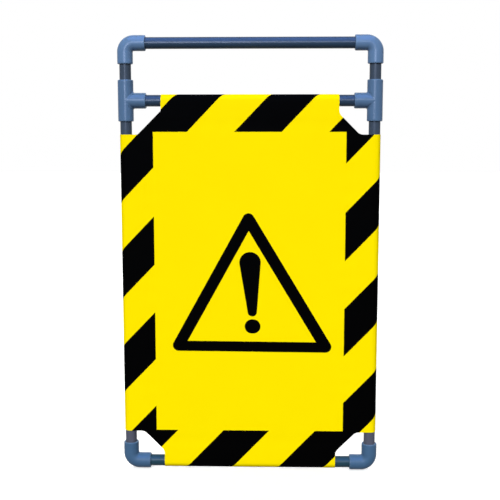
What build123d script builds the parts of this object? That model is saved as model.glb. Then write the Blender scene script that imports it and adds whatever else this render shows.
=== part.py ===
from build123d import *
import os
from math import atan2, cos, hypot, sin, acos

os.makedirs("parts", exist_ok=True)

# Driving sizes of the barrier panel, in millimetres.
# X runs along the width, +Y points to the back, Z is up, and the floor is at Z = 0 under the middle.
overall_height = 1000.0
overall_width = 594.0

# Plastic tube: outside diameter, wall, and the bevel at each cut end.
tube_od = 26.0
tube_wall = 1.9
tube_end_bevel = 0.8

# Socket fittings: the tube's play in its socket, the socket's wall and depth, the radius inside an elbow's
# bend, and the rounding and flare of a socket's mouth.
socket_clearance = 0.1
socket_wall = 4.5
socket_depth = 26.4
crotch_radius = 2.0
rim_round = 1.4
lead_in = 1.2

# Bare tube that shows between a top elbow and a tee, and between a socket and the sheet on a rail and a post.
stub_show = 35.0
rail_show = 34.0
post_show = 29.5

# Coated-fabric sheet, which lies flat across the front of the tubes: its thickness, its play round a tube, how
# far from a tube's middle its two layers meet, the width of the welded hem, and the cut at each corner: the
# slanted edge is where the distances from the two tubes' middles add up to corner_slant, and corner_round is
# the rounding at its ends.
sheet_thickness = 0.7
sleeve_clearance = 0.3
sleeve_reach = 42.0
hem_width = 22.0
corner_slant = 109.0
corner_round = 16.0

# Sizes that follow from the driving ones.
tube_r = tube_od / 2
tube_bore_r = tube_r - tube_wall
socket_bore_r = tube_r + socket_clearance
socket_r = socket_bore_r + socket_wall
shoulder = socket_r + crotch_radius
fitting_leg = shoulder + socket_depth

upright_x = overall_width / 2 - socket_r
bottom_z = socket_r
top_z = overall_height - socket_r
mid_z = top_z - 2 * fitting_leg - stub_show

sleeve_in_r = tube_r + sleeve_clearance
sleeve_out_r = sleeve_in_r + sheet_thickness
sheet_front = -sleeve_out_r
sheet_back = -sleeve_in_r
hem_back = sheet_back + sheet_thickness
rail_sleeve_end = fitting_leg + rail_show
post_sleeve_end = fitting_leg + post_show

on_floor = (Align.CENTER, Align.CENTER, Align.MIN)


def along_x(shape):
    return Rot(0, 90, 0) * shape


def tube(length):
    outside = Cylinder(tube_r, length)
    outside = chamfer(outside.edges().filter_by(GeomType.CIRCLE), tube_end_bevel)
    return outside - Cylinder(tube_bore_r, length)


def rail(height):
    # A level tube, seated on the socket stops at both ends.
    return Pos(0, 0, height) * along_x(tube(2 * (upright_x - shoulder)))


def post(side, low, high):
    # An upright tube between two fitting centres.
    return Pos(side * upright_x, 0, (low + high) / 2) * tube(high - low - 2 * shoulder)


def leg_outside(start):
    # The outside of one leg along +Z, from a start height to its rounded mouth.
    body = Pos(0, 0, start) * Cylinder(socket_r, fitting_leg - start, align=on_floor)
    return fillet(body.edges().group_by(Axis.Z)[-1], rim_round)


def socket_inside():
    # The bore that takes the tube, with its flared lead-in. Its floor is the stop.
    bore = Pos(0, 0, shoulder) * Cylinder(socket_bore_r, socket_depth, align=on_floor)
    flare = Cone(socket_bore_r, socket_bore_r + lead_in, lead_in, align=on_floor)
    return bore + Pos(0, 0, fitting_leg - lead_in) * flare


def bend(radius):
    # A quarter ring that turns from the +X leg to the +Z leg.
    section = Plane.YZ.offset(shoulder) * Circle(radius)
    return revolve(section, Axis((shoulder, 0, shoulder), (0, 1, 0)), 90)


def elbow():
    # Legs along +X and +Z, centred where the tube axes cross, with one outside size all the way round.
    outside = leg_outside(shoulder) + along_x(leg_outside(shoulder)) + bend(socket_r)
    inside = socket_inside() + along_x(socket_inside()) + bend(tube_bore_r)
    return outside - inside


def three_ways(leg):
    # A run along Z with a branch along +X.
    return leg + Rot(180, 0, 0) * leg + along_x(leg)


def tee():
    # The outside is the socket's size throughout. The hollow narrows to the tube's bore at the stops.
    passage = Cylinder(tube_bore_r, shoulder, align=on_floor)
    return three_ways(leg_outside(0)) - three_ways(passage + socket_inside())


def sleeve_section():
    # The sheet round a tube: straight across its front, round it, and back down to the hem behind the sheet.
    # First axis: from the tube's middle towards the middle of the sheet. Second axis: towards the back.
    turn = atan2(hem_back, sleeve_reach) + acos(sleeve_out_r / hypot(hem_back, sleeve_reach))
    away = (cos(turn), sin(turn))

    def drop(radius, tip):
        touch = (radius * away[0], radius * away[1])
        loop = ThreePointArc((0, -radius), (-radius, 0), touch)
        sides = Polyline(touch, *tip, (0, -radius))
        return make_face(loop + sides)

    inner_tip = sleeve_in_r * (1 + away[1]) / away[0]
    outer = drop(sleeve_out_r, [(sleeve_reach, hem_back), (sleeve_reach, sheet_front)])
    return outer - drop(sleeve_in_r, [(inner_tip, sheet_back)])


def sleeve(start, inward, along, length):
    # A sleeve along one tube, before the corners are cut.
    return extrude(Plane(start, x_dir=inward, z_dir=along) * sleeve_section(), length)


def slab(margin, front, back):
    # A flat layer whose edges lie a margin inside the four tube axes.
    width = 2 * (upright_x - margin)
    height = mid_z - bottom_z - 2 * margin
    middle = Pos(0, (front + back) / 2, (bottom_z + mid_z) / 2)
    return middle * Box(width, back - front, height)


def corner_cut(side, height, upward):
    # The cut at one corner: square to both tubes, a diagonal between, and rounded where they meet.
    past = -2 * sleeve_out_r
    points = [
        (past, past),
        (rail_sleeve_end, past),
        (rail_sleeve_end, corner_slant - rail_sleeve_end),
        (corner_slant - post_sleeve_end, post_sleeve_end),
        (past, post_sleeve_end),
    ]
    outline = Polygon(*points, align=None)
    rounded = [v for v in outline.vertices() if v.X > 0 and v.Y > 0]
    outline = fillet(rounded, corner_round)
    plane = Plane((side * upright_x, 0, height), x_dir=(-side, 0, 0), z_dir=(0, side * upward, 0))
    return extrude(plane * outline, 2 * sleeve_out_r, both=True)


def panel_sheet():
    width = 2 * upright_x
    height = mid_z - bottom_z
    sheet = slab(sleeve_reach, sheet_front, sheet_back)
    hem = slab(sleeve_reach, sheet_back, hem_back)
    hem -= slab(sleeve_reach + hem_width, sheet_back, hem_back)
    sheet += hem
    sheet += sleeve((-upright_x, 0, bottom_z), (1, 0, 0), (0, 0, 1), height)
    sheet += sleeve((upright_x, 0, mid_z), (-1, 0, 0), (0, 0, -1), height)
    sheet += sleeve((upright_x, 0, bottom_z), (0, 0, 1), (-1, 0, 0), width)
    sheet += sleeve((-upright_x, 0, mid_z), (0, 0, -1), (1, 0, 0), width)
    for side in (-1, 1):
        sheet -= corner_cut(side, bottom_z, 1)
        sheet -= corner_cut(side, mid_z, -1)
    return sheet


pieces = {
    "top_rail": rail(top_z),
    "mid_rail": rail(mid_z),
    "bottom_rail": rail(bottom_z),
    "left_upright": post(-1, bottom_z, mid_z),
    "right_upright": post(1, bottom_z, mid_z),
    "left_top_stub": post(-1, mid_z, top_z),
    "right_top_stub": post(1, mid_z, top_z),
    "bottom_left_elbow": Pos(-upright_x, 0, bottom_z) * elbow(),
    "bottom_right_elbow": Pos(upright_x, 0, bottom_z) * Rot(0, -90, 0) * elbow(),
    "top_left_elbow": Pos(-upright_x, 0, top_z) * Rot(0, 90, 0) * elbow(),
    "top_right_elbow": Pos(upright_x, 0, top_z) * Rot(0, 180, 0) * elbow(),
    "left_tee": Pos(-upright_x, 0, mid_z) * tee(),
    "right_tee": Pos(upright_x, 0, mid_z) * Rot(0, 180, 0) * tee(),
    "panel_sheet": panel_sheet(),
}

for name, piece in pieces.items():
    export_step(piece, f"parts/{name}.step")
    print(f"{name}: {piece.volume / 1000:.1f} cm3")
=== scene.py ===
import math
import bmesh
import bpy
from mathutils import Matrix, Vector, noise


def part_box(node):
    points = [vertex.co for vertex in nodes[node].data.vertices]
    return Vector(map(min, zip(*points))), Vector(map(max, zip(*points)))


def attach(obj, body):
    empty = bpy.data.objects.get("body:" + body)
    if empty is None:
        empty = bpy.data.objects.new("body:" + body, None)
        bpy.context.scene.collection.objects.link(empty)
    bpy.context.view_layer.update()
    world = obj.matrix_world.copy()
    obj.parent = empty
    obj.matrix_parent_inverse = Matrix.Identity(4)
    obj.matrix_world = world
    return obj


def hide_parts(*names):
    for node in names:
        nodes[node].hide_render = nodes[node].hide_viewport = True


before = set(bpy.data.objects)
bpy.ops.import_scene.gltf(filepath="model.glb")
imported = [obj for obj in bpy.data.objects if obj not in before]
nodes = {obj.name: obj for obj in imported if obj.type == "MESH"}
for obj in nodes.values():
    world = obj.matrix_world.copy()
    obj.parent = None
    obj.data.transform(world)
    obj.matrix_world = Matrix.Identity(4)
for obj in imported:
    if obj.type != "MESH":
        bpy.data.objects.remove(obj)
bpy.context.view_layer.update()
print("frame loaded:", len(nodes), "pieces")


# places and sizes that the frame gives, in metres
def middle(node):
    low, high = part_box(node)
    return (low + high) / 2


uprightX = middle("right_upright").x
bottomZ = middle("bottom_rail").z
midZ = middle("mid_rail").z
topZ = middle("top_rail").z
railLow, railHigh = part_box("top_rail")
tubeR = (railHigh.z - railLow.z) / 2
elbowLow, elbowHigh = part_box("bottom_left_elbow")
socketR = (elbowHigh.y - elbowLow.y) / 2
legLength = elbowHigh.x - elbowLow.x - socketR


# camera, matched to the panel's corners in the 500 x 500 picture
camera = {
    "place": (0.0543, -1.9845, 0.7625),
    "aim": (0.0003, 0.0, 0.5181),
    "lens": 62.93,       # millimetres, on a sensor 36 wide
    "sensor": 36.0,
}

bpy.ops.object.select_all(action="DESELECT")
bpy.ops.object.camera_add(location=camera["place"])
eye = bpy.context.object
eye.name = "camera"
look = Vector(camera["aim"]) - Vector(camera["place"])
eye.rotation_euler = look.to_track_quat("-Z", "Y").to_euler()
eye.data.lens = camera["lens"]
eye.data.sensor_width = camera["sensor"]
eye.data.dof.use_dof = False
bpy.context.scene.camera = eye
bpy.context.scene.view_settings.view_transform = "Standard"
print("camera placed")


# small tools, and two distances in metres: points this close are merged, or count as being in one place
mergeGap = 1e-5
hair = 1e-6


def soloEdit(piece):
    # edit mode on this piece alone, with nothing selected
    bpy.ops.object.select_all(action="DESELECT")
    piece.select_set(True)
    bpy.context.view_layer.objects.active = piece
    bpy.ops.object.mode_set(mode="EDIT")
    bpy.ops.mesh.select_mode(type="VERT")
    bpy.ops.mesh.select_all(action="DESELECT")


def pick(piece, wanted):
    # selects the points, and what lies between them, by their place
    mesh = bmesh.from_edit_mesh(piece.data)
    for vert in mesh.verts:
        vert.select = wanted(vert.co)
    mesh.select_flush(True)
    bmesh.update_edit_mesh(piece.data)


def leaveEdit():
    bpy.ops.object.mode_set(mode="OBJECT")


def copyOf(piece, name, turn=(0, 0, 0), place=(0, 0, 0)):
    # a copy with its own mesh, its turn and place put into the mesh
    bpy.ops.object.select_all(action="DESELECT")
    piece.select_set(True)
    bpy.context.view_layer.objects.active = piece
    bpy.ops.object.duplicate()
    made = bpy.context.object
    made.name = name
    made.data.name = name
    made.rotation_euler = turn
    made.location = place
    bpy.ops.object.transform_apply(location=True, rotation=True, scale=True)
    return made


def joined(first, *others):
    bpy.ops.object.select_all(action="DESELECT")
    for piece in (first, *others):
        piece.select_set(True)
    bpy.context.view_layer.objects.active = first
    bpy.ops.object.join()
    return first


def cleanShell(piece, smoothAngle):
    # doubles merged, faces turned outwards, curves shaded smooth
    soloEdit(piece)
    bpy.ops.mesh.select_all(action="SELECT")
    bpy.ops.mesh.remove_doubles(threshold=mergeGap)
    bpy.ops.mesh.normals_make_consistent(inside=False)
    leaveEdit()
    bpy.ops.object.shade_smooth_by_angle(angle=math.radians(smoothAngle))


def smoothStep(t):
    return t * t * (3 - 2 * t)


def applied(piece, kind, **settings):
    # one modifier, applied at once
    bpy.context.view_layer.objects.active = piece
    modifier = piece.modifiers.new(kind.lower(), kind)
    for name, value in settings.items():
        setattr(modifier, name, value)
    bpy.ops.object.modifier_apply(modifier=modifier.name)


# socket fittings: one leg is grown ring by ring, and elbows and tees are made of legs
fitting = {
    "sides": 64,
    "socketDepth": 0.0264,     # how far a tube goes in
    "play": 0.0001,            # round a tube
    "wayThrough": 0.0111,      # radius of the passage past the stop
    "rimAlong": 0.0030,        # rounding of a mouth, along and across
    "rimAcross": 0.0014,
    "leadIn": 0.0012,
    "rimSteps": 5,
    "partingRidge": 0.0002,    # where the mould's halves met
    "ridgeSpan": 1.1,          # sides of the ring, each way, that are cut finer for the ridge
    "ridgeCuts": 2,
    "bendSteps": 24,
    "teeBands": 12,            # rings along a tee's leg
    "crotchRound": 0.0028,
    "crotchSteps": 4,
    "crotchOut": 0.9,          # shares of the outside radius: the crease lies further out than the first,
    "crotchDeep": 0.4,         # and is rounded only where it is deeper than the second
    "smoothAngle": 40,
    "wearReach": 0.0050,       # how far from a mouth the rubbed rim fades out
}
shoulder = legLength - fitting["socketDepth"]
outsideR = socketR - fitting["partingRidge"]
boreR = tubeR + fitting["play"]


def mouthRings():
    # round the rim, down the flared bore to the stop, and in to the passage
    rings = []
    for turn in range(fitting["rimSteps"] + 1):
        angle = math.pi / 2 * turn / fitting["rimSteps"]
        rings.append((
            legLength - fitting["rimAlong"] * (1 - math.sin(angle)),
            outsideR - fitting["rimAcross"] * (1 - math.cos(angle)),
        ))
    rings.append((legLength, boreR + fitting["leadIn"]))
    rings.append((legLength - fitting["leadIn"], boreR))
    rings.append((shoulder, boreR))
    rings.append((shoulder, fitting["wayThrough"]))
    return rings


def growLeg(name, rings):
    # one leg along +Z: a ring with two fine ridges, extruded from ring to ring
    height, radius = rings[0]
    bpy.ops.object.select_all(action="DESELECT")
    bpy.ops.mesh.primitive_circle_add(
        vertices=fitting["sides"], radius=radius, location=(0, 0, height))
    leg = bpy.context.object
    leg.name = name
    bpy.ops.object.transform_apply(location=True)
    soloEdit(leg)
    nextToRidge = fitting["ridgeSpan"] * 2 * math.pi * radius / fitting["sides"]
    pick(leg, lambda co: abs(co.y) < nextToRidge)
    bpy.ops.mesh.subdivide(number_cuts=fitting["ridgeCuts"])
    pick(leg, lambda co: abs(co.y) < hair)
    ridge = 1 + fitting["partingRidge"] / radius
    bpy.ops.transform.resize(value=(ridge, 1, 1), center_override=(0, 0, height))
    bpy.ops.mesh.select_all(action="SELECT")
    for nextHeight, nextRadius in rings[1:]:
        rise = (0, 0, nextHeight - height)
        bpy.ops.mesh.extrude_region_move(TRANSFORM_OT_translate={"value": rise})
        scale = nextRadius / radius
        bpy.ops.transform.resize(value=(scale, scale, 1), center_override=(0, 0, nextHeight))
        height, radius = nextHeight, nextRadius
    leaveEdit()
    wear = leg.data.attributes.new("rimWear", "FLOAT", "POINT")
    for vert, value in zip(leg.data.vertices, wear.data):
        inBore = math.hypot(vert.co.x, vert.co.y) < boreR + fitting["leadIn"] / 2
        fromMouth = (legLength - vert.co.z) / fitting["wearReach"]
        value.value = 0 if inBore else max(0, 1 - fromMouth)
    return leg


def makeElbow():
    # legs along +Z and +X, their open ends joined by a quarter turn
    wearStart = legLength - fitting["wearReach"]
    elbow = growLeg("elbow", [(shoulder, outsideR), (wearStart, outsideR)] + mouthRings())
    second = copyOf(elbow, "elbowLeg", turn=(0, math.pi / 2, 0))
    soloEdit(elbow)
    bpy.ops.mesh.select_non_manifold(extend=False)
    bpy.ops.mesh.spin(
        steps=fitting["bendSteps"], angle=math.pi / 2,
        center=(shoulder, 0, shoulder), axis=(0, 1, 0))
    leaveEdit()
    joined(elbow, second)
    cleanShell(elbow, fitting["smoothAngle"])
    return elbow


def mitred(leg, planeNormal):
    # cuts off what lies on the normal's side
    soloEdit(leg)
    bpy.ops.mesh.select_all(action="SELECT")
    bpy.ops.mesh.bisect(plane_co=(0, 0, 0), plane_no=planeNormal, clear_outer=True, threshold=hair)
    leaveEdit()


def makeTee():
    # a run along Z and a branch along +X, mitred together and rounded in the crotch
    band = (legLength - fitting["rimAlong"]) / fitting["teeBands"]
    rings = [(band * step, outsideR) for step in range(fitting["teeBands"])]
    rings += mouthRings() + [(0, fitting["wayThrough"])]
    runUp = growLeg("tee", rings)
    branch = copyOf(runUp, "teeBranch", turn=(0, math.pi / 2, 0))
    mitred(runUp, (1, 0, -1))
    mitred(branch, (-1, 0, 1))
    mitred(branch, (-1, 0, -1))
    runDown = copyOf(runUp, "teeDown", turn=(math.pi, 0, 0))
    tee = joined(runUp, runDown, branch)
    cleanShell(tee, fitting["smoothAngle"])
    soloEdit(tee)
    # the crease dies out at the front and back, so only its deeper part is rounded
    out, deep = fitting["crotchOut"] * outsideR, fitting["crotchDeep"] * outsideR
    pick(tee, lambda co: (
        abs(abs(co.z) - co.x) < mergeGap and math.hypot(co.x, co.y) > out and co.x > deep))
    bpy.ops.mesh.select_mode(type="EDGE")
    bpy.ops.mesh.bevel(
        offset=fitting["crotchRound"], segments=fitting["crotchSteps"], profile=0.5, affect="EDGES")
    leaveEdit()
    cleanShell(tee, fitting["smoothAngle"])
    return tee


elbow = makeElbow()
tee = makeTee()
quarter = math.pi / 2
fittingPlaces = {
    "bottom_left_elbow": (elbow, 0, (-uprightX, 0, bottomZ)),
    "bottom_right_elbow": (elbow, -quarter, (uprightX, 0, bottomZ)),
    "top_left_elbow": (elbow, quarter, (-uprightX, 0, topZ)),
    "top_right_elbow": (elbow, 2 * quarter, (uprightX, 0, topZ)),
    "left_tee": (tee, 0, (-uprightX, 0, midZ)),
    "right_tee": (tee, 2 * quarter, (uprightX, 0, midZ)),
}
fittings = []
for node, (pattern, turn, place) in fittingPlaces.items():
    piece = copyOf(pattern, node + "_moulding", turn=(0, turn, 0), place=place)
    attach(piece, "root")
    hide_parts(node)
    fittings.append(piece)
for pattern in (elbow, tee):
    bpy.data.objects.remove(pattern)
print("fittings moulded:", [len(piece.data.polygons) for piece in fittings], "faces")


# printed sheet: cut flat, laid across the front of the four tubes, folded round them and
# welded to its own back
sheet = {
    "thickness": 0.0007,
    "play": 0.0003,          # round a tube
    "reach": 0.042,          # tube's middle to where the two layers meet
    "hem": 0.022,            # width of the weld
    "railSleeveEnd": 0.080,  # crossing tube's middle to a sleeve's end, on a rail and on a post
    "postSleeveEnd": 0.0755,
    "cornerSlant": 0.109,    # distances from the two tubes' middles, added up, along the slanted cut
    "cornerRound": 0.016,
    "stripeSlant": 0.103,    # the same at the top left, where the cut follows a stripe's edge
    "stripeRound": 0.003,
    "roundSteps": 8,
    "blockDepth": 0.02,      # of the block that cuts a corner
    "flatCell": 0.008,       # mesh spacing: middle, back of a sleeve, round the tube, hem
    "slopeCell": 0.006,
    "loopCell": 0.0021,
    "hemCell": 0.0055,
    "weldEdge": 0.0015,      # soft edge of the pressed weld
    "weldPress": 0.00012,
    "weldGap": 0.00005,
    "slack": 0.0005,         # slow waves left in the stretched middle: height, sizes, fading, seed
    "slackAcross": 0.16,
    "slackUp": 0.21,
    "slackFade": 0.10,
    "slackSeed": 2.7,
    "pucker": 0.00025,       # short ripples along the weld: height, spacing, fading
    "puckerPitch": 0.046,
    "puckerFade": 0.024,
    "sway": 4,               # how unevenly they are spaced: radians, sizes along and across, seed
    "swayAlong": 0.11,
    "swayAcross": 0.2,
    "swaySeed": 5.3,
    "smoothAngle": 50,
    "printedFacing": -0.5,   # a face looks forwards if its normal's depth is below this
}
loopR = tubeR + sheet["play"] + sheet["thickness"]
hemBack = -loopR + 2 * sheet["thickness"] + sheet["weldGap"]
tip = math.hypot(sheet["reach"], hemBack)
# the angle at which the sheet leaves the tube
turnAway = math.atan2(hemBack, sheet["reach"]) + math.acos(loopR / tip)
slope = math.sqrt(tip ** 2 - loopR ** 2)
loop = loopR * (1.5 * math.pi - turnAway)
foldLength = sheet["reach"] + loop + slope + sheet["hem"]
flatHalfX = uprightX - sheet["reach"]
flatHalfZ = (midZ - bottomZ) / 2 - sheet["reach"]
sheetMidZ = (midZ + bottomZ) / 2


def evenly(start, length, cell):
    count = max(1, round(length / cell))
    return [start + length * (i + 1) / count for i in range(count)]


def gridLines(flatHalf):
    # distances from the middle to one cut edge, closer together where the sheet bends
    band = flatHalf - sheet["hem"]
    lines = [0] + evenly(0, band, sheet["flatCell"])
    for length, cell in (
        (sheet["weldEdge"], sheet["weldEdge"]),
        (sheet["hem"] - 2 * sheet["weldEdge"], sheet["hemCell"]),
        (sheet["weldEdge"], sheet["weldEdge"]),
        (sheet["reach"], sheet["flatCell"]),
        (loop, sheet["loopCell"]),
        (slope, sheet["slopeCell"]),
        (sheet["hem"], sheet["hemCell"]),
    ):
        lines += evenly(lines[-1], length, cell)
    return [-line for line in reversed(lines[1:])] + lines


def foldedPlace(run, lift):
    # run: distance past the weld, along the printed face; lift: off that face, towards the print
    # gives the distance from the tube's middle, inwards, and the depth towards the back
    reach = sheet["reach"]
    if run <= reach:
        near, normal = (reach - run, -loopR), (0, -1)
    elif run <= reach + loop:
        angle = -math.pi / 2 - (run - reach) / loopR
        normal = (math.cos(angle), math.sin(angle))
        near = (loopR * normal[0], loopR * normal[1])
    elif run <= reach + loop + slope:
        t = (run - reach - loop) / slope
        normal = (math.cos(turnAway), math.sin(turnAway))
        leave = (loopR * normal[0], loopR * normal[1])
        near = (leave[0] + (reach - leave[0]) * t, leave[1] + (hemBack - leave[1]) * t)
    else:
        near, normal = (run - loop - slope, hemBack), (0, 1)
    return near[0] + lift * normal[0], near[1] + lift * normal[1]


def weldBand(run):
    # 1 within the weld, 0 outside, soft at both edges
    inner = (run + sheet["hem"]) / sheet["weldEdge"]
    outer = -run / sheet["weldEdge"]
    return smoothStep(min(1, max(0, min(inner, outer))))


def tensionWave(across, up, runX, runZ):
    # slow slack in the middle, short ripples beside the welds, and the pressed weld itself
    fade = smoothStep(min(1, max(0, -max(runX, runZ) / sheet["slackFade"])))
    slow = Vector((across / sheet["slackAcross"], up / sheet["slackUp"], sheet["slackSeed"]))
    wave = sheet["slack"] * fade * noise.noise(slow)
    for run, along in ((runX, up), (runZ, across)):
        beside = math.exp(-((run + sheet["hem"] / 2) / sheet["puckerFade"]) ** 2)
        uneven = Vector((along / sheet["swayAlong"], sheet["swaySeed"], run / sheet["swayAcross"]))
        turn = 2 * math.pi * along / sheet["puckerPitch"] + sheet["sway"] * noise.noise(uneven)
        wave += sheet["pucker"] * beside * math.sin(turn)
        wave -= sheet["weldPress"] * weldBand(run)
    return wave


def cornerBlock(slant, rounding):
    # what a corner loses: a block with one edge slanted off, and the slant rounded at its ends
    side = 2 * foldLength
    bpy.ops.object.select_all(action="DESELECT")
    bpy.ops.mesh.primitive_cube_add(
        size=1, scale=(side, sheet["blockDepth"], side), location=(-side / 2, 0, -side / 2))
    block = bpy.context.object
    bpy.ops.object.transform_apply(location=True, scale=True)
    soloEdit(block)
    pick(block, lambda co: co.x > -hair and co.z > -hair)
    slantCut = sheet["railSleeveEnd"] + sheet["postSleeveEnd"] - slant
    bpy.ops.mesh.bevel(offset=slantCut, segments=1, affect="EDGES")
    pick(block, lambda co: co.x > -side / 2 and co.z > -side / 2)
    bpy.ops.mesh.select_mode(type="EDGE")
    mesh = bmesh.from_edit_mesh(block.data)
    for edge in mesh.edges:
        a, b = (vert.co for vert in edge.verts)
        edge.select = edge.select and abs(a.y - b.y) > sheet["blockDepth"] / 2
    bmesh.update_edit_mesh(block.data)
    # the slant turns by 45 degrees at each end, so the rounding starts this far from the turn
    fromEdge = rounding * math.tan(math.pi / 8)
    bpy.ops.mesh.bevel(offset=fromEdge, segments=sheet["roundSteps"], profile=0.5, affect="EDGES")
    leaveEdit()
    return block


def makeSheet():
    linesX, linesZ = gridLines(flatHalfX), gridLines(flatHalfZ)
    cellsX, cellsZ = len(linesX) - 1, len(linesZ) - 1
    bpy.ops.object.select_all(action="DESELECT")
    bpy.ops.mesh.primitive_grid_add(x_subdivisions=cellsX, y_subdivisions=cellsZ, size=1)
    cloth = bpy.context.object
    cloth.name = "printed_sheet"
    cloth.data.name = "printed_sheet"
    # the grid is 1 m wide and high about its middle, and its lines move to their own places
    for vert in cloth.data.vertices:
        column = round((vert.co.x + 0.5) * cellsX)
        row = round((vert.co.y + 0.5) * cellsZ)
        vert.co = (linesX[column], 0, linesZ[row])
    applied(cloth, "SOLIDIFY", thickness=sheet["thickness"], offset=1, use_even_offset=False)

    # the four corners: side and height of each, its block's turn, and the cut
    usual = (sheet["cornerSlant"], sheet["cornerRound"])
    alongStripe = (sheet["stripeSlant"], sheet["stripeRound"])
    for sideX, sideZ, turn, cut in (
        (-1, -1, 0, usual),
        (1, -1, -quarter, usual),
        (-1, 1, quarter, alongStripe),
        (1, 1, 2 * quarter, usual),
    ):
        corner = (
            sideX * (flatHalfX + sheet["reach"] - sheet["railSleeveEnd"]), 0,
            sideZ * (flatHalfZ + sheet["reach"] - sheet["postSleeveEnd"]))
        block = cornerBlock(*cut)
        cutter = copyOf(block, "cornerBlock", turn=(0, turn, 0), place=corner)
        bpy.ops.object.select_all(action="DESELECT")
        applied(cloth, "BOOLEAN", object=cutter, operation="DIFFERENCE", solver="EXACT")
        for used in (cutter, block):
            bpy.data.objects.remove(used)
    return cloth


cloth = makeSheet()
print("sheet cut:", len(cloth.data.polygons), "faces")

# the flat cut is kept as a UV map in metres; faces that look forwards are printed, the others plain
flatMap = cloth.data.uv_layers.new(name="flatCut")
for face in cloth.data.polygons:
    printed = face.normal.y < sheet["printedFacing"]
    face.material_index = 0 if printed else 1
    for index in face.loop_indices:
        co = cloth.data.vertices[cloth.data.loops[index].vertex_index].co
        flatMap.data[index].uv = (co.x, co.z + sheetMidZ)

front = min(vert.co.y for vert in cloth.data.vertices)
for vert in cloth.data.vertices:
    across, up = vert.co.x, vert.co.z
    lift = front - vert.co.y
    runX, runZ = abs(across) - flatHalfX, abs(up) - flatHalfZ
    lift += tensionWave(across, up, runX, runZ)
    x, z, depth = across, up, -loopR - lift
    if runX > 0:
        near, depth = foldedPlace(runX, lift)
        x = math.copysign(uprightX - near, across)
    elif runZ > 0:
        near, depth = foldedPlace(runZ, lift)
        z = math.copysign(flatHalfZ + sheet["reach"] - near, up)
    vert.co = (x, depth, z + sheetMidZ)
cloth.data.update()
cleanShell(cloth, sheet["smoothAngle"])
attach(cloth, "root")
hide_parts("panel_sheet")


# materials
def linear(hexColour):
    # sRGB hex to linear light
    parts = [int(hexColour[i:i + 2], 16) / 255 for i in (1, 3, 5)]
    return (*(p / 12.92 if p <= 0.04045 else ((p + 0.055) / 1.055) ** 2.4 for p in parts), 1)


def addNode(tree, kind, feeds=None, **settings):
    # a node with its settings; feeds are values, sockets, or nodes that give their first output
    node = tree.nodes.new(kind)
    for name, value in settings.items():
        setattr(node, name, value)
    for key, source in (feeds or {}).items():
        socket = node.inputs[key] if isinstance(key, int) else next(
            i for i in node.inputs if i.enabled and i.name == key)
        if isinstance(source, bpy.types.Node):
            source = next(o for o in source.outputs if o.enabled)
        if isinstance(source, bpy.types.NodeSocket):
            tree.links.new(source, socket)
        else:
            socket.default_value = source
    return node


def newMaterial(name):
    material = bpy.data.materials.new(name)
    material.use_nodes = True
    tree = material.node_tree
    tree.nodes.clear()
    return material, tree


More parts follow.
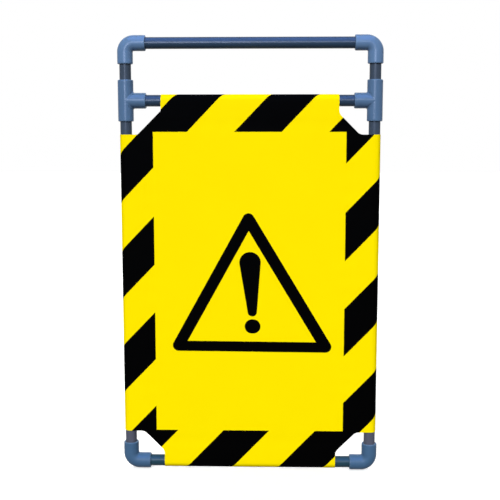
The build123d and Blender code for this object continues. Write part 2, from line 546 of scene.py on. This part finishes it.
def mouldedPvc():
    # injection moulded PVC: a soft sheen on blue-grey, faintly clouded, rubbed paler and duller on the rims
    # as photographed, it is darker near the floor, which is painted shade, and paler round the handle,
    # which is painted light; it is duller near the floor too
    finish = {
        # low is painted shade near the floor, and high is painted light round the handle
        "colour": "#557398", "low": "#456587", "high": "#6181AA",
        "rubbed": "#7590AE", "cloudShade": "#ECEEF0",
        "lowSpan": (0.15, 0.07),        # heights in metres between which each tint comes in
        "highSpan": (0.905, 0.935),
        "lowDull": 0.15, "rubbedDull": 0.2,
        "cloudSize": 0.026, "rubSize": 0.0016, "peelSize": 0.0012, "peelDepth": 0.00001,
    }
    material, tree = newMaterial("PVC, injection moulded, blue-grey")
    place = addNode(tree, "ShaderNodeTexCoord").outputs["Object"]
    height = addNode(tree, "ShaderNodeSeparateXYZ", {0: place}).outputs["Z"]
    low = addNode(tree, "ShaderNodeMapRange", {
        "Value": height, "From Min": finish["lowSpan"][0], "From Max": finish["lowSpan"][1]})
    high = addNode(tree, "ShaderNodeMapRange", {
        "Value": height, "From Min": finish["highSpan"][0], "From Max": finish["highSpan"][1]})
    # mixed in by height: painted shade near the floor, then painted light round the handle
    paintedShadeTint = addNode(tree, "ShaderNodeMix", {
        "Factor": low, "A": linear(finish["colour"]), "B": linear(finish["low"])}, data_type="RGBA")
    tint = addNode(tree, "ShaderNodeMix", {
        "Factor": high, "A": paintedShadeTint.outputs[2], "B": linear(finish["high"])}, data_type="RGBA")
    cloud = addNode(tree, "ShaderNodeTexNoise", {
        "Vector": place, "Scale": 1 / finish["cloudSize"], "Detail": 3.0})
    colour = addNode(tree, "ShaderNodeMix", {
        "Factor": cloud, "A": tint.outputs[2], "B": linear(finish["cloudShade"])},
        data_type="RGBA", blend_type="MULTIPLY")
    rim = addNode(tree, "ShaderNodeAttribute", attribute_name="rimWear").outputs["Fac"]
    rub = addNode(tree, "ShaderNodeTexNoise", {
        "Vector": place, "Scale": 1 / finish["rubSize"], "Detail": 4.0})
    rubbed = addNode(tree, "ShaderNodeMath", {0: rim, 1: rub}, operation="MULTIPLY")
    worn = addNode(tree, "ShaderNodeMapRange", {
        "Value": rubbed, "From Min": 0.30, "From Max": 0.60, "To Min": 0.0, "To Max": 0.6})
    wornColour = addNode(tree, "ShaderNodeMix", {
        "Factor": worn, "A": colour.outputs[2], "B": linear(finish["rubbed"])}, data_type="RGBA")
    rough = addNode(tree, "ShaderNodeMapRange", {"Value": cloud, "To Min": 0.22, "To Max": 0.28})
    roughLow = addNode(tree, "ShaderNodeMath", {
        0: low, 1: finish["lowDull"], 2: rough}, operation="MULTIPLY_ADD")
    roughWorn = addNode(tree, "ShaderNodeMath", {
        0: worn, 1: finish["rubbedDull"], 2: roughLow}, operation="MULTIPLY_ADD")
    peel = addNode(tree, "ShaderNodeTexNoise", {
        "Vector": place, "Scale": 1 / finish["peelSize"], "Detail": 1.0})
    bump = addNode(tree, "ShaderNodeBump", {
        "Strength": 0.5, "Distance": finish["peelDepth"], "Height": peel})
    surface = addNode(tree, "ShaderNodeBsdfPrincipled", {
        "Base Color": wornColour.outputs[2], "Roughness": roughWorn, "Normal": bump,
        "IOR": 1.53, "Specular IOR Level": 0.08})
    addNode(tree, "ShaderNodeOutputMaterial", {"Surface": surface})
    return material


def extrudedPvc(name, colour, low, gloss, stretch):
    # extruded PVC tube: dark slate, drawn smooth, with faint lengthwise lines from the die
    # the lines are about 0.3 mm apart on a real tube, and drawn coarser here so that they show
    # as photographed, the tint changes near the floor, and the gloss is duller there; on the level tubes
    # the darker tint is painted shade
    finish = {
        "lineShade": "#E3E3E4", "lineGap": 0.0016, "lineDepth": 0.000004, "patchSize": 0.05,
        "lowSpan": (0.20, 0.10),        # heights in metres between which the tint comes in
        "lowDull": 0.09,
    }
    material, tree = newMaterial(name)
    place = addNode(tree, "ShaderNodeTexCoord").outputs["Object"]
    height = addNode(tree, "ShaderNodeSeparateXYZ", {0: place}).outputs["Z"]
    near = addNode(tree, "ShaderNodeMapRange", {
        "Value": height, "From Min": finish["lowSpan"][0], "From Max": finish["lowSpan"][1]})
    # the tint near the floor: painted shade on the level tubes, paler on the upright tubes
    tint = addNode(tree, "ShaderNodeMix", {
        "Factor": near, "A": linear(colour), "B": linear(low)}, data_type="RGBA")
    along = addNode(tree, "ShaderNodeMapping", {"Vector": place, "Scale": stretch})
    lines = addNode(tree, "ShaderNodeTexNoise", {
        "Vector": along, "Scale": 1 / finish["lineGap"], "Detail": 2.0})
    lined = addNode(tree, "ShaderNodeMix", {
        "Factor": lines, "A": tint.outputs[2], "B": linear(finish["lineShade"])},
        data_type="RGBA", blend_type="MULTIPLY")
    patch = addNode(tree, "ShaderNodeTexNoise", {
        "Vector": place, "Scale": 1 / finish["patchSize"], "Detail": 2.0})
    drawn = addNode(tree, "ShaderNodeMapRange", {"Value": patch, "To Min": 0.26, "To Max": 0.32})
    rough = addNode(tree, "ShaderNodeMath", {
        0: near, 1: finish["lowDull"], 2: drawn}, operation="MULTIPLY_ADD")
    bump = addNode(tree, "ShaderNodeBump", {
        "Strength": 0.4, "Distance": finish["lineDepth"], "Height": lines})
    surface = addNode(tree, "ShaderNodeBsdfPrincipled", {
        "Base Color": lined.outputs[2], "Roughness": rough, "Normal": bump,
        "IOR": 1.53, "Specular IOR Level": gloss})
    addNode(tree, "ShaderNodeOutputMaterial", {"Surface": surface})
    return material


def clothSurface(tree, colour, specular):
    # what print and back share: the woven threads that show through the coating, and uneven roughness
    # real threads lie about 1.2 mm apart, and are drawn coarser so that they show
    finish = {"threadGap": 0.0028, "threadDepth": 0.00008, "patchSize": 0.07}
    flat = addNode(tree, "ShaderNodeUVMap", uv_map="flatCut")
    # at a scale of 1 the wave texture repeats every tenth of pi
    bands = math.pi / 10 / finish["threadGap"]
    warp = addNode(tree, "ShaderNodeTexWave", {
        "Vector": flat, "Scale": bands, "Distortion": 0.0}, bands_direction="X").outputs["Fac"]
    weft = addNode(tree, "ShaderNodeTexWave", {
        "Vector": flat, "Scale": bands, "Distortion": 0.0}, bands_direction="Y").outputs["Fac"]
    threads = addNode(tree, "ShaderNodeMath", {0: warp, 1: weft}, operation="MAXIMUM")
    bump = addNode(tree, "ShaderNodeBump", {
        "Strength": 0.4, "Distance": finish["threadDepth"], "Height": threads})
    patch = addNode(tree, "ShaderNodeTexNoise", {
        "Vector": flat, "Scale": 1 / finish["patchSize"], "Detail": 3.0})
    rough = addNode(tree, "ShaderNodeMapRange", {"Value": patch, "To Min": 0.48, "To Max": 0.66})
    surface = addNode(tree, "ShaderNodeBsdfPrincipled", {
        "Base Color": colour, "Roughness": rough, "Normal": bump,
        "IOR": 1.46, "Specular IOR Level": specular})
    addNode(tree, "ShaderNodeOutputMaterial", {"Surface": surface})


def printedTarpaulin():
    # PVC-coated polyester, printed: even, almost matt yellow and black, the threads just felt under it
    finish = {"yellow": "#FFE900", "thinYellow": "#FFE500", "black": "#020202", "inkSize": 0.12}
    # the print's sizes in millimetres on the flat cut, across from the middle and up from the floor
    # ink bleeds about 0.1 mm into the coating, and its edge is drawn softer so that it shows
    inkEdge = 0.4
    stripe = {"pitchAcross": 212.3, "pitchUp": 220.9, "shift": 0.4707}
    # the plain yellow inside the stripes
    field = {"middle": (-0.6, 440.9, 0), "half": (216.7, 345.0, 0)}
    sign = {"apex": (-2.8, 590.1, 0), "left": (-163.9, 298.1, 0), "right": (174.2, 295.8, 0),
            "sideHalf": 13.4, "baseHalf": 12.0}
    mark = {"head": (0.8, 490.7, 0), "headHalf": 24.5, "foot": (5.9, 376.9, 0), "footHalf": 10.6,
            "dotLeft": (5.0, 342.9, 0), "dotRight": (8.2, 342.9, 0), "dotHalf": 16.5}

    material, tree = newMaterial("PVC-coated polyester, printed")
    flat = addNode(tree, "ShaderNodeUVMap", uv_map="flatCut")
    inMm = addNode(tree, "ShaderNodeVectorMath", {0: flat, "Scale": 1000.0}, operation="SCALE")
    split = addNode(tree, "ShaderNodeSeparateXYZ", {0: inMm})
    across, up = split.outputs["X"], split.outputs["Y"]

    # slanting stripes, kept out of the plain field
    # within a pitch the wave runs from 0 to a half and back, and it is black below a quarter
    acrossShare = addNode(tree, "ShaderNodeMath", {
        0: across, 1: 1 / stripe["pitchAcross"], 2: stripe["shift"]}, operation="MULTIPLY_ADD")
    slant = addNode(tree, "ShaderNodeMath", {
        0: up, 1: -1 / stripe["pitchUp"], 2: acrossShare}, operation="MULTIPLY_ADD")
    wave = addNode(tree, "ShaderNodeMath", {0: slant, 1: 0.5}, operation="PINGPONG")
    soft = inkEdge * math.hypot(1 / stripe["pitchAcross"], 1 / stripe["pitchUp"])
    striped = addNode(tree, "ShaderNodeMapRange", {
        "Value": wave, "From Min": 0.25 - soft, "From Max": 0.25 + soft, "To Min": 1.0, "To Max": 0.0})
    fromMiddle = addNode(tree, "ShaderNodeVectorMath", {
        0: inMm, 1: field["middle"]}, operation="SUBTRACT")
    unsigned = addNode(tree, "ShaderNodeVectorMath", {0: fromMiddle}, operation="ABSOLUTE")
    pastField = addNode(tree, "ShaderNodeVectorMath", {
        0: unsigned, 1: field["half"]}, operation="SUBTRACT")
    pastSides = addNode(tree, "ShaderNodeSeparateXYZ", {0: pastField})
    furthest = addNode(tree, "ShaderNodeMath", {
        0: pastSides.outputs["X"], 1: pastSides.outputs["Y"]}, operation="MAXIMUM")
    outField = addNode(tree, "ShaderNodeMapRange", {
        "Value": furthest, "From Min": -inkEdge, "From Max": inkEdge})
    border = addNode(tree, "ShaderNodeMath", {0: striped, 1: outField}, operation="MULTIPLY")

    # warning triangle and exclamation mark, drawn as round-ended bars: start, end, half width at each
    apex, left, right = (Vector(sign[name]) for name in ("apex", "left", "right"))
    lower = Vector((0, sign["baseHalf"] - sign["sideHalf"], 0))     # keeps the undersides level
    ink = border
    for start, end, startHalf, endHalf in (
        (apex, left, sign["sideHalf"], sign["sideHalf"]),
        (apex, right, sign["sideHalf"], sign["sideHalf"]),
        (left + lower, right + lower, sign["baseHalf"], sign["baseHalf"]),
        (Vector(mark["foot"]), Vector(mark["head"]), mark["footHalf"], mark["headHalf"]),
        (Vector(mark["dotLeft"]), Vector(mark["dotRight"]), mark["dotHalf"], mark["dotHalf"]),
    ):
        run = end - start
        fromStart = addNode(tree, "ShaderNodeVectorMath", {0: inMm, 1: start}, operation="SUBTRACT")
        share = addNode(tree, "ShaderNodeVectorMath", {
            0: fromStart, 1: run / run.length_squared}, operation="DOT_PRODUCT").outputs["Value"]
        held = addNode(tree, "ShaderNodeClamp", {"Value": share})
        onBar = addNode(tree, "ShaderNodeVectorMath", {0: run, "Scale": held}, operation="SCALE")
        away = addNode(tree, "ShaderNodeVectorMath", {
            0: fromStart, 1: onBar}, operation="DISTANCE").outputs["Value"]
        half = addNode(tree, "ShaderNodeMath", {
            0: held, 1: endHalf - startHalf, 2: startHalf}, operation="MULTIPLY_ADD")
        pastBar = addNode(tree, "ShaderNodeMath", {0: away, 1: half}, operation="SUBTRACT")
        bar = addNode(tree, "ShaderNodeMapRange", {
            "Value": pastBar, "From Min": -inkEdge, "From Max": inkEdge, "To Min": 1.0, "To Max": 0.0})
        ink = addNode(tree, "ShaderNodeMath", {0: ink, 1: bar}, operation="MAXIMUM")

    body = addNode(tree, "ShaderNodeTexNoise", {
        "Vector": flat, "Scale": 1 / finish["inkSize"], "Detail": 2.0})
    yellow = addNode(tree, "ShaderNodeMix", {
        "Factor": body, "A": linear(finish["thinYellow"]), "B": linear(finish["yellow"])},
        data_type="RGBA")
    colour = addNode(tree, "ShaderNodeMix", {
        "Factor": ink, "A": yellow.outputs[2], "B": linear(finish["black"])}, data_type="RGBA")
    clothSurface(tree, colour.outputs[2], specular=0.004)
    return material


def plainTarpaulin():
    # the same cloth's unprinted back: dull white, faintly and unevenly greyed
    finish = {"white": "#E9E9E4", "greyed": "#E1E1DB", "patchSize": 0.09}
    material, tree = newMaterial("PVC-coated polyester, white back")
    flat = addNode(tree, "ShaderNodeUVMap", uv_map="flatCut")
    patch = addNode(tree, "ShaderNodeTexNoise", {
        "Vector": flat, "Scale": 1 / finish["patchSize"], "Detail": 4.0})
    greyed = addNode(tree, "ShaderNodeMapRange", {"Value": patch, "From Min": 0.45, "From Max": 0.75})
    colour = addNode(tree, "ShaderNodeMix", {
        "Factor": greyed, "A": linear(finish["white"]), "B": linear(finish["greyed"])}, data_type="RGBA")
    clothSurface(tree, colour.outputs[2], specular=0.3)
    return material


def dress(piece, *materials):
    piece.data.materials.clear()
    for material in materials:
        piece.data.materials.append(material)


fittingFinish = mouldedPvc()
for piece in fittings:
    dress(piece, fittingFinish)
# the darker, tealer tint near the floor on these tubes is painted shade
levelTube = extrudedPvc(
    "PVC, extruded, slate blue, level tubes",
    colour="#2A4059", low="#214151", gloss=0.1, stretch=(0.01, 1, 1))
uprightTube = extrudedPvc(
    "PVC, extruded, slate grey, upright tubes",
    colour="#414E60", low="#595C6C", gloss=0.05, stretch=(1, 1, 0.01))
for node in ("top_rail", "mid_rail", "bottom_rail"):
    dress(nodes[node], levelTube)
for node in ("left_upright", "right_upright", "left_top_stub", "right_top_stub"):
    dress(nodes[node], uprightTube)
slots = [face.material_index for face in cloth.data.polygons]
dress(cloth, printedTarpaulin(), plainTarpaulin())
cloth.data.polygons.foreach_set("material_index", slots)
print("materials on")


# floor, light and white surroundings
studio = {
    "floorSize": 40,
    "floorWhite": "#FAFAFA",
    "floorBounce": "#484848",     # what the floor throws back on the panel's underside
    "floorGlow": 0.34,            # lifts the white that the camera sees
    "skyLevel": 0.08,
    "suns": {                     # degrees round to the left of the front, degrees up, strength
        "key light": (14, 32, 3.38),
        "side light": (-75, 20, 0.6),
        "back light": (190, 30, 3.0),
    },
    "sunPlace": (0, 0, 3),
    "sunSpread": 44,              # wide sources, for soft shadows
    "panels": {                   # only for gloss: place, aim, width and height, watts, colour
        "upright strip": ((-0.4, -2.4, 1.15), (0, 0, 0.95), (0.08, 1.0), 40, "#D2DEFF"),
        "level strip": ((-0.2, -5.0, 1.95), (0, 0, 0.6), (2.2, 1.0), 310, "#D2DEFF"),
        "overhead panel": ((0, -1.2, 2.3), (0, -1.2, 0), (2.0, 2.8), 210, "#7FA6FF"),
    },
}


def rayKinds(tree):
    # 1 for rays from the camera, and 1 for what gloss or glass shows
    path = addNode(tree, "ShaderNodeLightPath")
    mirrored = addNode(tree, "ShaderNodeMath", {
        0: path.outputs["Is Glossy Ray"], 1: path.outputs["Is Transmission Ray"]}, operation="MAXIMUM")
    return path.outputs["Is Camera Ray"], mirrored


bpy.ops.object.select_all(action="DESELECT")
bpy.ops.mesh.primitive_plane_add(size=studio["floorSize"])
floor = bpy.context.object
floor.name = "floor"
material, tree = newMaterial("floor, matt white")
seen, mirrored = rayKinds(tree)
colour = addNode(tree, "ShaderNodeMix", {
    "Factor": seen, "A": linear(studio["floorBounce"]), "B": linear(studio["floorWhite"])},
    data_type="RGBA")
matt = addNode(tree, "ShaderNodeBsdfDiffuse", {"Color": colour.outputs[2]})
lift = addNode(tree, "ShaderNodeMath", {0: seen, 1: studio["floorGlow"]}, operation="MULTIPLY")
glow = addNode(tree, "ShaderNodeEmission", {"Color": (1, 1, 1, 1), "Strength": lift})
both = addNode(tree, "ShaderNodeAddShader", {0: matt, 1: glow})
plain = addNode(tree, "ShaderNodeEmission", {"Color": (1, 1, 1, 1), "Strength": 1.0})
shown = addNode(tree, "ShaderNodeMixShader", {0: mirrored, 1: both, 2: plain})
addNode(tree, "ShaderNodeOutputMaterial", {"Surface": shown})
dress(floor, material)

world = bpy.data.worlds.new("white surroundings")
bpy.context.scene.world = world
world.use_nodes = True
tree = world.node_tree
tree.nodes.clear()
seen, mirrored = rayKinds(tree)
either = addNode(tree, "ShaderNodeMath", {0: seen, 1: mirrored}, operation="MAXIMUM")
sky = addNode(tree, "ShaderNodeBackground", {"Color": (1, 1, 1, 1), "Strength": studio["skyLevel"]})
backdrop = addNode(tree, "ShaderNodeBackground", {"Color": (1, 1, 1, 1), "Strength": 1.0})
shown = addNode(tree, "ShaderNodeMixShader", {0: either, 1: sky, 2: backdrop})
addNode(tree, "ShaderNodeOutputWorld", {"Surface": shown})

for name, (turn, height, strength) in studio["suns"].items():
    bpy.ops.object.select_all(action="DESELECT")
    bpy.ops.object.light_add(type="SUN", location=studio["sunPlace"])
    sun = bpy.context.object
    sun.name = name
    sun.data.energy = strength
    sun.data.angle = math.radians(studio["sunSpread"])
    sun.visible_glossy = False
    turn, height = math.radians(turn), math.radians(height)
    level = math.cos(height)
    towardsSun = Vector((-math.sin(turn) * level, -math.cos(turn) * level, math.sin(height)))
    sun.rotation_euler = (-towardsSun).to_track_quat("-Z", "Y").to_euler()

for name, (place, aim, size, watts, colour) in studio["panels"].items():
    bpy.ops.object.select_all(action="DESELECT")
    bpy.ops.object.light_add(type="AREA", location=place)
    panel = bpy.context.object
    panel.name = name
    panel.data.shape = "RECTANGLE"
    panel.data.size, panel.data.size_y = size
    panel.data.energy = watts
    panel.data.color = linear(colour)[:3]
    panel.rotation_euler = (Vector(aim) - Vector(place)).to_track_quat("-Z", "Y").to_euler()
    panel.visible_camera = False
    panel.visible_diffuse = False
print("studio lit")
